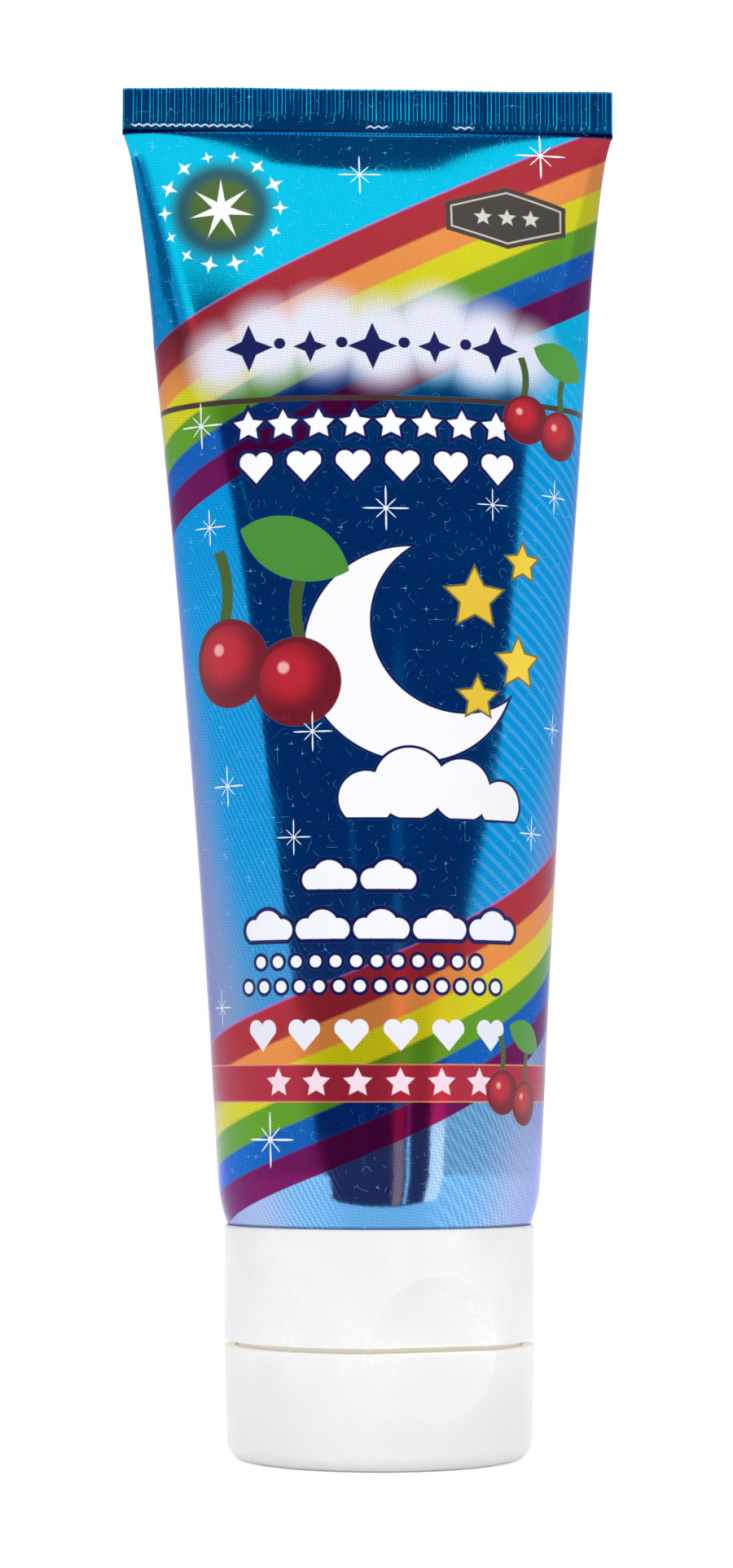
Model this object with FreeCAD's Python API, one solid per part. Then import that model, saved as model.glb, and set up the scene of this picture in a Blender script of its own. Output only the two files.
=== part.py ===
# A laminate toothpaste tube that stands on its round flip-top cap.
# Millimetres, +Z up. The origin is the centre of the cap's foot, the crimp runs along X, the front faces -Y.
import FreeCAD, Part

import math
import os

from FreeCAD import Rotation, Vector

# Sleeve: a laminate tube, round at the shoulder and pressed flat at the crimp
tube_diameter = 35.0
laminate = 0.3
bulge_length = 115.0
bulge_sections = 12
fullness_spread = 1.1
fullness_power = 0.45
fold_gap = 0.1
crimp_offset = -1.2
lean_power = 1.4
shoulder_drop = 5.7

# Crimp: a plain fold line, then the ribbed seal
plain_band = 0.7
rib_length = 4.3
rib_pitch = 0.92
rib_height = 0.15
rib_top_share = 0.30
rib_foot_share = 0.56

# Head: the moulded shoulder and neck that the sleeve is welded to
head_wall = 1.2
weld_height = 3.7
cone_drop = 3.2
neck_radius = 6.0
neck_wall = 1.4
bead_height = 0.4
bead_from_tip = 3.6

# Cap base, whose skirt stands a little inside the sleeve: skirt, deck, nozzle and a collar for the neck
cap_inset = 0.8
cap_wall = 1.3
base_height = 12.1
edge_round = 0.3
deck_thickness = 1.4
nozzle_radius = 4.0
nozzle_taper = 0.35
nozzle_drop = 4.2
orifice_radius = 2.5
collar_wall = 1.3
collar_headroom = 0.9
snap_clearance = 0.1
web_count = 6
web_thickness = 0.8
web_step = 2.1

# Parting line: a gap, and the base's inner rim that reaches down into the lid
parting_gap = 0.6
rim_drop = 1.1
rim_wall = 1.2
rim_clearance = 0.3

# Cap lid: a drafted cup that the tube stands on, with a post and plug for the nozzle
lid_height = 12.1
lid_draft = 0.4
lid_wall = 1.2
lid_floor = 1.3
foot_round = 1.8
foot_recess = 0.4
foot_ring = 2.6
plug_clearance = 0.08
plug_height = 1.9
plug_taper = 0.67
post_radius = 3.3
post_clearance = 0.3
gusset_count = 4
gusset_thickness = 0.9
gusset_reach = 3.0
gusset_height = 3.6

# Thumb scoop in front and film hinge behind, both turned a little about the tube's axis
cap_turn_deg = 20.0
scoop_depth = 1.6
scoop_half_height = 7.6
hinge_land_depth = 0.45
hinge_land_height = 9.0
hinge_width = 6.6
hinge_film = 0.5
hinge_slack = 0.03

# Contents
fill_headspace = 24.0
fill_from_plug = 0.5

# Heights and radii that follow from the sizes above
tube_radius = tube_diameter / 2
cap_radius = tube_radius - cap_inset
loop_length = math.pi * (tube_diameter - laminate)
crimp_width = loop_length / 2 + laminate
parting_high = lid_height + parting_gap
parting_middle = lid_height + parting_gap / 2
cap_height = parting_high + base_height
shoulder_top = cap_height + shoulder_drop
shoulder_inset = cap_inset + edge_round
shoulder_arc = (shoulder_drop ** 2 + shoulder_inset ** 2) / (2 * shoulder_inset)
weld_top = cap_height + weld_height
crimp_low = shoulder_top + bulge_length
ribs_low = crimp_low + plain_band
deck_top = parting_high + deck_thickness
neck_top = cap_height - cone_drop
bead_at = deck_top + bead_from_tip
nozzle_tip = parting_high - nozzle_drop
plug_tip = nozzle_tip + plug_height
skirt_inner = cap_radius - cap_wall
scoop_radius = (scoop_half_height ** 2 + scoop_depth ** 2) / (2 * scoop_depth)
hinge_radius = cap_radius - hinge_land_depth


def revolve(points, arcs=None):
    """A solid of revolution from (radius, height) points; arcs gives the middle of each curved edge."""
    middles = arcs or {}
    edges = []
    for index, start in enumerate(points):
        end = points[(index + 1) % len(points)]
        a = Vector(start[0], 0, start[1])
        b = Vector(end[0], 0, end[1])
        if index in middles:
            middle = Vector(middles[index][0], 0, middles[index][1])
            edges.append(Part.Arc(a, middle, b).toShape())
        else:
            edges.append(Part.LineSegment(a, b).toShape())
    return Part.Face(Part.Wire(edges)).revolve(Vector(0, 0, 0), Vector(0, 0, 1), 360)


def round_middle(radius, height, size, side):
    """The middle of a quarter round in place of an outer corner; side is +1 where the piece lies above it."""
    inward = size * (1 - math.sqrt(0.5))
    return (radius - inward, height + side * inward)


def cylinder(radius, low, high):
    """An upright cylinder on the tube's axis between two heights."""
    return Part.makeCylinder(radius, high - low, Vector(0, 0, low))


def block(width, depth, low, high, x=0.0, y=0.0):
    """An upright box centred on (x, y) between two heights."""
    return Part.makeBox(width, depth, high - low, Vector(x - width / 2, y - depth / 2, low))


def spokes(count, first_deg, thickness, inner, outer, low, high):
    """Upright radial webs between two radii, evenly spaced from the first one's direction."""
    placed = []
    for index in range(count):
        web = block(outer - inner, thickness, low, high, x=(inner + outer) / 2)
        web.rotate(Vector(0, 0, 0), Vector(0, 0, 1), first_deg + index * 360 / count)
        placed.append(web)
    return placed


def shoulder_radius(height, inset=0.0):
    """The sleeve's radius where it curls in over the shoulder, on an arc tangent to its round side."""
    drop = shoulder_top - height
    return tube_radius - shoulder_arc + math.sqrt((shoulder_arc - inset) ** 2 - drop ** 2)


def oval_half_depth(share):
    """The half depth of the filled tube at a share of the way down from the crimp to the round shoulder."""
    full = tube_radius - laminate / 2
    flat = (laminate + fold_gap) / 2
    fullness = (1 - (1 - share) ** fullness_spread) ** fullness_power
    return flat + (full - flat) * fullness


def oval_half_width(half_depth):
    """The half width that keeps an oval's way round as long as the sleeve's own loop, found by halving."""
    low = half_depth
    high = loop_length / 4
    while high - low > 1e-7:
        middle = (low + high) / 2
        # Ramanujan's formula for the way round an ellipse
        h = ((middle - half_depth) / (middle + half_depth)) ** 2
        around = math.pi * (middle + half_depth) * (1 + 3 * h / (10 + math.sqrt(4 - 3 * h)))
        if around > loop_length:
            high = middle
        else:
            low = middle
    return (low + high) / 2


def oval_rails(inset):
    """Two curves down the tube: the ovals' half sizes with their height, and the lean of their centres."""
    places = [index / bulge_sections for index in range(bulge_sections + 1)]
    sizes = []
    centres = []
    for place in places:
        # squared, because the tube opens fastest just under the crimp
        share = place ** 2
        half_depth = oval_half_depth(share)
        half_width = oval_half_width(half_depth)
        sizes.append(Vector(half_width - inset, half_depth - inset, crimp_low - share * bulge_length))
        centres.append(Vector(crimp_offset * (1 - share) ** lean_power, 0, 0))
    size_rail = Part.BSplineCurve()
    size_rail.interpolate(Points=sizes, Parameters=places)
    lean_rail = Part.BSplineCurve()
    lean_rail.interpolate(Points=centres, Parameters=places)
    return size_rail, lean_rail


def oval_half(side, size_rail, lean_rail):
    """The front or back of the filled body: half circles of rational poles, drawn flat by the rails."""
    ring = [(1, 0), (1, side), (0, side), (-1, side), (-1, 0)]
    stack = list(zip(size_rail.getPoles(), lean_rail.getPoles()))
    poles = [[Vector(at.x + x * size.x, y * size.y, size.z) for size, at in stack] for x, y in ring]
    weights = [[math.sqrt(0.5) if x and y else 1.0] * len(stack) for x, y in ring]
    surface = Part.BSplineSurface()
    surface.buildFromPolesMultsKnots(
        poles,
        [3, 2, 3],
        size_rail.getMultiplicities(),
        [0, 1, 2],
        size_rail.getKnots(),
        False,
        False,
        2,
        size_rail.Degree,
        weights,
    )
    return surface.toShape()


def is_level(edge, height):
    """Whether an edge lies all at one height."""
    box = edge.BoundBox
    return abs(box.ZMin - height) < 1e-5 and abs(box.ZMax - height) < 1e-5


def bulge(inset):
    """The filled body from the crimp to the round shoulder, moved in from the wall's middle by inset."""
    size_rail, lean_rail = oval_rails(inset)
    faces = [oval_half(side, size_rail, lean_rail) for side in (-1, 1)]
    edges = faces[0].Edges + faces[1].Edges
    for level in (crimp_low, shoulder_top):
        rim = Part.sortEdges([edge for edge in edges if is_level(edge, level)])[0]
        faces.append(Part.Face(Part.Wire(rim)))
    shell = Part.Shell(faces)
    shell.sewShape()
    solid = Part.Solid(shell)
    solid.fix(1e-6, 1e-6, 1e-5)
    return solid


def shoulder_curl(inset, low):
    """The sleeve's round lower end, moved in from the outer skin by inset, down to a height."""
    middle = (shoulder_top + low) / 2
    points = [
        (0, shoulder_top),
        (0, low),
        (shoulder_radius(low, inset), low),
        (tube_radius - inset, shoulder_top),
    ]
    return revolve(points, {2: (shoulder_radius(middle, inset), middle)})


def ribbed_edge(side, shift):
    """One face of the crimp seen from above: upright ribs, each a flat top between two slopes."""
    half_top = rib_pitch * rib_top_share / 2
    half_foot = rib_pitch * rib_foot_share / 2
    rib_count = int((crimp_width - rib_pitch) / rib_pitch)
    foot = side * laminate
    top = side * (laminate + rib_height)
    points = [Vector(-crimp_width / 2, foot, ribs_low)]
    for index in range(rib_count):
        x = (index - (rib_count - 1) / 2) * rib_pitch + shift
        points.append(Vector(x - half_foot, foot, ribs_low))
        points.append(Vector(x - half_top, top, ribs_low))
        points.append(Vector(x + half_top, top, ribs_low))
        points.append(Vector(x + half_foot, foot, ribs_low))
    points.append(Vector(crimp_width / 2, foot, ribs_low))
    return points


def crimp_band():
    """Two layers pressed flat, with the ribs of one face between those of the other."""
    front = ribbed_edge(-1, -rib_pitch / 4)
    back = ribbed_edge(1, rib_pitch / 4)
    outline = front + back[::-1] + front[:1]
    ribbed = Part.Face(Part.makePolygon(outline)).extrude(Vector(0, 0, rib_length))
    band = block(crimp_width, 2 * laminate, crimp_low, ribs_low).fuse(ribbed)
    band.translate(Vector(crimp_offset, 0, 0))
    return band


def make_sleeve():
    """The laminate sleeve, one web from the welded shoulder to the crimp."""
    outside = bulge(-laminate / 2).fuse(shoulder_curl(0.0, cap_height))
    inside = bulge(laminate / 2).fuse(shoulder_curl(laminate, cap_height))
    return outside.cut(inside).fuse(crimp_band()).removeSplitter()


def head_hollow():
    """The space inside the head, from the neck's tip to the top of the welded rim."""
    bore = neck_radius - neck_wall
    inset = laminate + head_wall
    cone_high = cap_height + head_wall
    rim_middle = (cone_high + weld_top) / 2
    points = [
        (0, deck_top),
        (bore, deck_top),
        (bore, neck_top + head_wall),
        (shoulder_radius(cone_high, inset), cone_high),
        (shoulder_radius(weld_top, inset), weld_top),
        (0, weld_top),
    ]
    return revolve(points, {3: (shoulder_radius(rim_middle, inset), rim_middle)})


def make_head():
    """The shoulder cone, its rim welded inside the sleeve, and the neck with its snap bead."""
    rim_middle = (cap_height + weld_top) / 2
    points = [
        (0, deck_top),
        (neck_radius, deck_top),
        (neck_radius, bead_at - bead_height),
        (neck_radius, bead_at + bead_height),
        (neck_radius, neck_top),
        (skirt_inner, cap_height),
        (shoulder_radius(cap_height, laminate), cap_height),
        (shoulder_radius(weld_top, laminate), weld_top),
        (0, weld_top),
    ]
    arcs = {
        2: (neck_radius + bead_height, bead_at),
        6: (shoulder_radius(rim_middle, laminate), rim_middle),
    }
    return revolve(points, arcs).cut(head_hollow())


def make_fill():
    """The paste: it fills the sleeve, the head and the cap's nozzle, with some air left under the crimp."""
    filled = block(4 * tube_radius, 4 * tube_radius, shoulder_top, crimp_low - fill_headspace)
    body = bulge(laminate / 2).common(filled)
    curl = shoulder_curl(laminate, weld_top)
    orifice = cylinder(orifice_radius, plug_tip + fill_from_plug, deck_top)
    return body.fuse([curl, head_hollow(), orifice]).removeSplitter()


def scoop(depth):
    """The cutter of the thumb scoop, a cylinder lying across the front, grown by depth into the wall."""
    reach = cap_radius - scoop_depth + scoop_radius
    length = 4 * cap_radius
    corner = Vector(-length / 2, -reach, parting_middle)
    return Part.makeCylinder(scoop_radius + depth, length, corner, Vector(1, 0, 0))


def scooped_wall(outer, hollow, depth, wall):
    """A cup's wall that keeps its thickness where it follows the scoop, at a depth behind its face."""
    return outer.cut(scoop(depth)).cut(hollow.cut(scoop(depth + wall)))


def hinge_land():
    """The cutter of the flat land behind the cap, where the film hinge runs straight."""
    low = parting_middle - hinge_land_height / 2
    high = parting_middle + hinge_land_height / 2
    return block(2 * cap_radius, cap_radius, low, high, y=hinge_radius + cap_radius / 2)


def turned(piece):
    """A cap piece turned about the tube's axis to where its scoop points."""
    piece.rotate(Vector(0, 0, 0), Vector(0, 0, 1), cap_turn_deg)
    return piece


def base_skirt():
    """The base's outer wall and deck, open at the top."""
    points = [
        (0, parting_high),
        (cap_radius, parting_high),
        (cap_radius, cap_height - edge_round),
        (cap_radius - edge_round, cap_height),
        (0, cap_height),
    ]
    outer = revolve(points, {2: round_middle(cap_radius, cap_height, edge_round, -1)})
    hollow = cylinder(skirt_inner, deck_top, cap_height)
    return scooped_wall(outer, hollow, 0.0, cap_wall)


def base_rim():
    """The rim under the deck that shows through the parting gap and centres the lid."""
    radius = cap_radius - lid_wall - rim_clearance
    outer = cylinder(radius, parting_high - rim_drop, parting_high)
    hollow = cylinder(radius - rim_wall, parting_high - rim_drop, parting_high)
    return scooped_wall(outer, hollow, lid_wall + rim_clearance, rim_wall)


def base_collar():
    """The collar round the tube's neck, with a groove for the neck's bead, and the webs that brace it."""
    inner = neck_radius + snap_clearance
    outer = inner + collar_wall
    top = neck_top - collar_headroom
    groove = bead_height + snap_clearance
    points = [
        (inner, deck_top),
        (outer, deck_top),
        (outer, top),
        (inner, top),
        (inner, bead_at + groove),
        (inner, bead_at - groove),
    ]
    collar = revolve(points, {4: (inner + bead_height, bead_at)})
    web_inner = outer - collar_wall / 2
    web_outer = skirt_inner + cap_wall / 2
    webs = spokes(web_count, 0.0, web_thickness, web_inner, web_outer, deck_top, top - web_step)
    return [collar] + webs


def base_nozzle():
    """The nozzle under the deck, tapered, with a small bevel at its mouth."""
    mouth = nozzle_radius - nozzle_taper
    points = [
        (0, nozzle_tip),
        (mouth - edge_round, nozzle_tip),
        (mouth, nozzle_tip + edge_round),
        (nozzle_radius, parting_high),
        (0, parting_high),
    ]
    return revolve(points)


def hinge_strap():
    """The film hinge, a short strap that bridges the parting gap behind the cap."""
    low = lid_height + hinge_slack
    return block(hinge_width, hinge_film, low, parting_high, y=hinge_radius - hinge_film / 2)


def make_cap_base():
    """The cap's base, pressed on over the neck, with everything that the lid closes on."""
    solid = base_skirt().fuse(base_collar() + [base_rim(), base_nozzle()])
    orifice = cylinder(orifice_radius, nozzle_tip, deck_top)
    base = solid.cut(hinge_land()).cut(orifice).fuse(hinge_strap())
    return turned(base.removeSplitter())


def lid_radius(height):
    """The lid's drafted outer radius at a height."""
    return cap_radius - lid_draft * (lid_height - height) / lid_height


def lid_cup():
    """The lid's cup: a foot ring round a slightly raised floor, and a drafted wall."""
    foot = lid_radius(0) - foot_round
    outer_points = [
        (0, foot_recess),
        (foot - foot_ring - foot_recess, foot_recess),
        (foot - foot_ring, 0),
        (foot, 0),
        (lid_radius(foot_round), foot_round),
        (lid_radius(lid_height), lid_height),
        (0, lid_height),
    ]
    outer = revolve(outer_points, {3: round_middle(lid_radius(0), 0, foot_round, 1)})
    floor_top = foot_recess + lid_floor
    inner_round = foot_round - foot_recess
    inner = lid_radius(floor_top) - lid_wall
    inner_points = [
        (0, floor_top),
        (inner - inner_round, floor_top),
        (inner, floor_top + inner_round),
        (lid_radius(lid_height) - lid_wall, lid_height),
        (0, lid_height),
    ]
    hollow = revolve(inner_points, {1: round_middle(inner, floor_top, inner_round, 1)})
    return scooped_wall(outer, hollow, 0.0, lid_wall)


def lid_post():
    """The post under the nozzle with its tapered plug, and the gussets at its foot."""
    floor_top = foot_recess + lid_floor
    post_top = nozzle_tip - post_clearance
    plug_radius = orifice_radius - plug_clearance
    points = [
        (0, floor_top),
        (post_radius, floor_top),
        (post_radius, post_top),
        (plug_radius, post_top),
        (plug_radius, nozzle_tip),
        (plug_radius - plug_taper, plug_tip),
        (0, plug_tip),
    ]
    reach = post_radius + gusset_reach
    gusset_top = floor_top + gusset_height
    first_deg = 180 / gusset_count
    gussets = spokes(
        gusset_count, first_deg, gusset_thickness, post_radius / 2, reach, floor_top, gusset_top
    )
    return [revolve(points)] + gussets


def make_cap_lid():
    """The lid that the tube stands on."""
    lid = lid_cup().fuse(lid_post()).cut(hinge_land())
    return turned(lid.removeSplitter())


def main():
    os.makedirs("parts", exist_ok=True)
    pieces = {
        "tube_sleeve": make_sleeve(),
        "tube_head": make_head(),
        "toothpaste_fill": make_fill(),
        "cap_base": make_cap_base(),
        "cap_lid": make_cap_lid(),
    }
    for name, shape in pieces.items():
        shape.exportStep("parts/" + name + ".step")
        print(
            f"{name}: valid {shape.isValid()}, solids {len(shape.Solids)}, faces {len(shape.Faces)},",
            f"volume {shape.Volume:.1f} mm3",
        )
    turn = Rotation(Vector(0, 0, 1), cap_turn_deg)
    print("hinge point", turn.multVec(Vector(0, hinge_radius, parting_middle)))
    print("hinge axis", turn.multVec(Vector(1, 0, 0)))


main()
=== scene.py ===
import bmesh
import bpy
import numpy as np
from math import cos, pi, radians, sin
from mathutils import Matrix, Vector


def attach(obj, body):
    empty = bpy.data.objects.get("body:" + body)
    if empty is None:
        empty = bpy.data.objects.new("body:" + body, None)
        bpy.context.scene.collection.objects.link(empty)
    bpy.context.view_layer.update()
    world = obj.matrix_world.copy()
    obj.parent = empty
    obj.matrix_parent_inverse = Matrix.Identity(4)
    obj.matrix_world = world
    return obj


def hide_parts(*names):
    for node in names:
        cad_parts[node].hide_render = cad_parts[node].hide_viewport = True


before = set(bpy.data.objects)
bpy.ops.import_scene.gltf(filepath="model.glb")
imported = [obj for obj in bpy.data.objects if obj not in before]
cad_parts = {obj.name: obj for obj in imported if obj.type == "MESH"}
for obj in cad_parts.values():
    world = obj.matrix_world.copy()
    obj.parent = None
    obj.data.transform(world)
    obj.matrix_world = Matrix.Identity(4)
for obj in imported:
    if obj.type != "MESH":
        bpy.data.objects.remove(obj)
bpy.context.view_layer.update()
print("frame loaded")

mm = 0.001

# Sleeve, in millimetres: the laminate web from the cap to the crimp
sleeve = {
    "diameter": 35.0,
    "laminate": 0.3,
    "foldGap": 0.1,
    "capTop": 24.8,
    "shoulderTop": 30.5,
    "shoulderInset": 1.1,
    "crimpLow": 145.5,
    "fullnessSpread": 1.1,
    "fullnessPower": 0.45,
    "lean": -1.2,
    "leanPower": 1.4,
    "columns": 400,
    "rows": 186,
    "shoulderRows": 12,
    "innerStep": 4,
}
girth = pi * (sleeve["diameter"] - sleeve["laminate"])
printFoot = 20.0
printHeight = 135.0


def crimpShare(height):
    # 0 at the crimp, 1 at the shoulder
    return np.clip((sleeve["crimpLow"] - height) / (sleeve["crimpLow"] - sleeve["shoulderTop"]), 0.0, 1.0)


# Half depth of the wall's middle: flat at the crimp, and full at the shoulder,
# flat + (full - flat) * (1 - (1 - share)^spread)^power. Below the shoulder it follows a round that turns inwards.
def halfDepth(height):
    share = crimpShare(height)
    flat = (sleeve["laminate"] + sleeve["foldGap"]) / 2
    full = (sleeve["diameter"] - sleeve["laminate"]) / 2
    rising = (1 - (1 - share) ** sleeve["fullnessSpread"]) ** sleeve["fullnessPower"]
    drop = sleeve["shoulderTop"] - sleeve["capTop"]
    inset = sleeve["shoulderInset"]
    arc = (drop ** 2 + inset ** 2) / (2 * inset)
    below = np.clip(sleeve["shoulderTop"] - height, 0.0, drop)
    return flat + (full - flat) * rising - arc + np.sqrt(arc ** 2 - below ** 2)


# Half width of an oval with that half depth, whose way round is the web's own width. It is found by halving
# with Ramanujan's length of an oval, pi * (3 (a + b) - sqrt((3a + b) (a + 3b))). The shoulder's round is a circle.
def halfWidth(height):
    depth = halfDepth(np.maximum(height, sleeve["shoulderTop"]))
    low = np.full_like(depth, (sleeve["diameter"] - sleeve["laminate"]) / 2)
    high = np.full_like(depth, girth / 4 + 1)
    for _ in range(48):
        middle = (low + high) / 2
        around = pi * (3 * (middle + depth) - np.sqrt((3 * middle + depth) * (middle + 3 * depth)))
        high = np.where(around > girth, middle, high)
        low = np.where(around > girth, low, middle)
    return (low + high) / 2 + halfDepth(height) - depth


# Points of the sleeve's skin on a grid: heights down the rows, and across the columns shares of the way round,
# -0.5 and 0.5 at the back and 0 in front. Each oval's points stand at even steps along its own edge.
def sleeveSkin(heights, shares, offset):
    wide = halfWidth(heights) + offset
    deep = halfDepth(heights) + offset
    turns = np.linspace(0.0, 2 * pi, 2881)
    sine = np.sin(turns)
    cosine = np.cos(turns)
    steps = np.hypot(np.diff(wide[:, None] * sine, axis=1), np.diff(deep[:, None] * cosine, axis=1))
    walked = np.concatenate([np.zeros((len(heights), 1)), np.cumsum(steps, axis=1)], axis=1)
    walked /= walked[:, -1:]
    angles = np.stack([np.interp(shares % 1.0, row, turns) for row in walked])
    centre = sleeve["lean"] * (1 - crimpShare(heights)) ** sleeve["leanPower"]
    x = centre[:, None] + wide[:, None] * np.sin(angles)
    y = -deep[:, None] * np.cos(angles)
    z = np.repeat(heights[:, None], len(shares), axis=1)
    return np.stack([x, y, z], axis=-1)


def newPiece(name, points, faces, material, smooth=True):
    mesh = bpy.data.meshes.new(name)
    mesh.from_pydata((np.asarray(points).reshape(-1, 3) * mm).tolist(), [], faces)
    mesh.polygons.foreach_set("use_smooth", np.full(len(mesh.polygons), smooth))
    mesh.update()
    piece = bpy.data.objects.new(name, mesh)
    bpy.context.scene.collection.objects.link(piece)
    mesh.materials.append(material)
    return piece


# Quads of a grid whose columns close round: corners of row i and column j, counted row by row
def ringQuads(rows, columns, first=0, flip=False):
    i, j = np.meshgrid(np.arange(rows - 1), np.arange(columns), indexing="ij")
    near = first + i * columns + j
    beside = first + i * columns + (j + 1) % columns
    quads = np.stack([near, beside, beside + columns, near + columns], axis=-1).reshape(-1, 4)
    return (quads[:, ::-1] if flip else quads).tolist()


# The print's own map: across, the share of the way round, and up, the share of the print's height.
# The column that closes the ring keeps counting on, so that no face runs back across the map.
def addPrintMap(piece, shareOf, heightOf, columns):
    mesh = piece.data
    corner = np.empty(len(mesh.loops), dtype=np.int64)
    mesh.loops.foreach_get("vertex_index", corner)
    start = np.empty(len(mesh.polygons), dtype=np.int64)
    total = np.empty(len(mesh.polygons), dtype=np.int64)
    mesh.polygons.foreach_get("loop_start", start)
    mesh.polygons.foreach_get("loop_total", total)
    across = shareOf[corner] + 0.5
    face = np.repeat(np.arange(len(total)), total)
    widest = np.maximum.reduceat(across, start)
    narrowest = np.minimum.reduceat(across, start)
    crossing = (widest - narrowest)[face] > 0.5
    across = np.where(crossing & (across < 0.5), across + 1.0, across)
    up = (heightOf[corner] - printFoot) / printHeight
    layer = mesh.uv_layers.new(name="printMap")
    layer.data.foreach_set("uv", np.stack([across, up], axis=-1).ravel())


# Small shapes of a filled and handled tube, as a push along the skin in millimetres, over u, the millimetres
# round from the front, and v, the height. They are slow waves, four creased corners, a thin crease and the lap.
dents = {
    "wave": 0.018,
    "cornerPush": 0.375,
    "cornerReach": 24.0,
    "cornerBreadth": 5.6,
    "creasePush": 0.06,
    "seamStep": 0.12,
    "seamWidth": 1.6,
}


def dentPush(u, v):
    push = dents["wave"] * np.sin(u / 5.2 + v / 17.0) * np.sin(v / 9.1 - u / 23.0)
    push += dents["wave"] * np.sin(v / 4.3 + 1.7 * np.sin(u / 8.0)) * np.exp(-((v - 137.0) / 9.0) ** 2)
    # each corner is flat outside a line that runs from the crimp's end down the side
    below = np.clip((sleeve["crimpLow"] - v) / dents["cornerReach"], 0.0, 1.0)
    breadth = np.maximum(dents["cornerBreadth"] * np.sin(pi * below) ** 0.6, 0.05)
    inside = np.clip(1 - np.abs(np.abs(u) - girth / 4) / breadth, 0.0, 1.0)
    push -= dents["cornerPush"] * inside * (1 - below) ** 0.5 * below ** 0.3
    # a thin slanted crease on the left of the front
    line = -14.0 + 0.27 * (103.0 - v)
    share = np.clip((v - 84.0) / 5.0, 0, 1) * np.clip((108.0 - v) / 5.0, 0, 1)
    push += dents["creasePush"] * share * np.exp(-((u - line) / 0.38) ** 2)
    # the web's edges lap at the back
    back = girth / 2 - np.abs(u)
    push += dents["seamStep"] * np.clip((dents["seamWidth"] - back) / 0.25, 0.0, 1.0) * np.clip((v - 31.0) / 4.0, 0, 1)
    return push


# The skin pushed in or out along its own normal, which is the cross product of the steps across and up
def dentedSkin(heights, shares):
    skin = sleeveSkin(heights, shares, sleeve["laminate"] / 2)
    across = np.roll(skin, -1, axis=1) - np.roll(skin, 1, axis=1)
    up = np.gradient(skin, axis=0)
    normal = np.cross(across, up)
    normal /= np.maximum(np.linalg.norm(normal, axis=2, keepdims=True), 1e-9)
    u = shares[None, :] * girth
    v = heights[:, None]
    calm = np.clip((sleeve["crimpLow"] - v) / 3.0, 0, 1) * np.clip((v - sleeve["capTop"]) / 6.0, 0, 1)
    return skin + normal * (dentPush(u + 0 * v, v + 0 * u) * calm)[:, :, None]


def makeSleeveBody(material):
    columns = sleeve["columns"]
    bulge = sleeve["crimpLow"] - sleeve["shoulderTop"]
    lower = np.linspace(sleeve["capTop"], sleeve["shoulderTop"], sleeve["shoulderRows"])
    upper = sleeve["crimpLow"] - bulge * np.linspace(1.0, 0.0, sleeve["rows"]) ** 2
    heights = np.concatenate([lower, upper[1:]])
    shares = np.arange(columns) / columns - 0.5
    outer = dentedSkin(heights, shares)
    step = sleeve["innerStep"]
    innerHeights = np.concatenate([heights[:-1:step], heights[-1:]])
    inner = sleeveSkin(innerHeights, shares[::step], -sleeve["laminate"] / 2)
    faces = ringQuads(len(heights), columns)
    first = outer.shape[0] * columns
    small = columns // step
    faces += ringQuads(len(innerHeights), small, first, flip=True)
    # the rims join each inner step to its outer steps
    topOuter = (len(heights) - 1) * columns
    topInner = first + (len(innerHeights) - 1) * small
    for k in range(small):
        outside = [(k * step + n) % columns for n in range(step + 1)]
        following = (k + 1) % small
        faces.append([topOuter + n for n in outside] + [topInner + following, topInner + k])
        faces.append([n for n in outside][::-1] + [first + k, first + following])
    points = np.concatenate([outer.reshape(-1, 3), inner.reshape(-1, 3)])
    piece = newPiece("sleeve_body", points, faces, material)
    share = np.concatenate([np.tile(shares, len(heights)), np.tile(shares[::step], len(innerHeights))])
    height = np.concatenate([np.repeat(heights, columns), np.repeat(innerHeights, small)])
    addPrintMap(piece, share, height, columns)
    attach(piece, "tube")
    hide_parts("tube_sleeve")
    return piece


# Crimp, in millimetres: both walls sealed flat, then pressed into upright ribs
crimp = {
    "top": 150.5,
    "low": 145.2,
    "ribsLow": 146.2,
    "pitch": 0.92,
    "ribHeight": 0.15,
    "topShare": 0.26,
    "footShare": 0.62,
    "stepsPerRib": 10,
    "endSteps": 5,
    "rows": 30,
    "waver": 0.10,
}


# A rib's height over x is a flat top between two slopes, repeated at the pitch. Its foot rounds off at the
# bottom of the ribs, and each rib stands a little differently, because the jaws press unevenly.
def ribPush(x, v, shift):
    count = (x - shift) / crimp["pitch"]
    number = np.round(count)
    off = np.abs(count - number)
    halfTop = crimp["topShare"] / 2
    halfFoot = crimp["footShare"] / 2
    shape = np.clip((halfFoot - off) / (halfFoot - halfTop), 0.0, 1.0)
    uneven = 0.86 + 0.14 * np.sin(number * 2.4) * np.sin(number * 0.71 + 1.0)
    worn = 1.2 * np.exp(-((x + 6.5) / 6.3) ** 4) + 0.45 * np.exp(-((x - 5.6) / 3.6) ** 4)
    start = crimp["ribsLow"] + worn * (0.85 + 0.3 * np.sin(number * 1.9))
    foot = np.clip((v - start) / 0.35, 0.0, 1.0)
    return crimp["ribHeight"] * shape * uneven * foot ** 0.5


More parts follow.
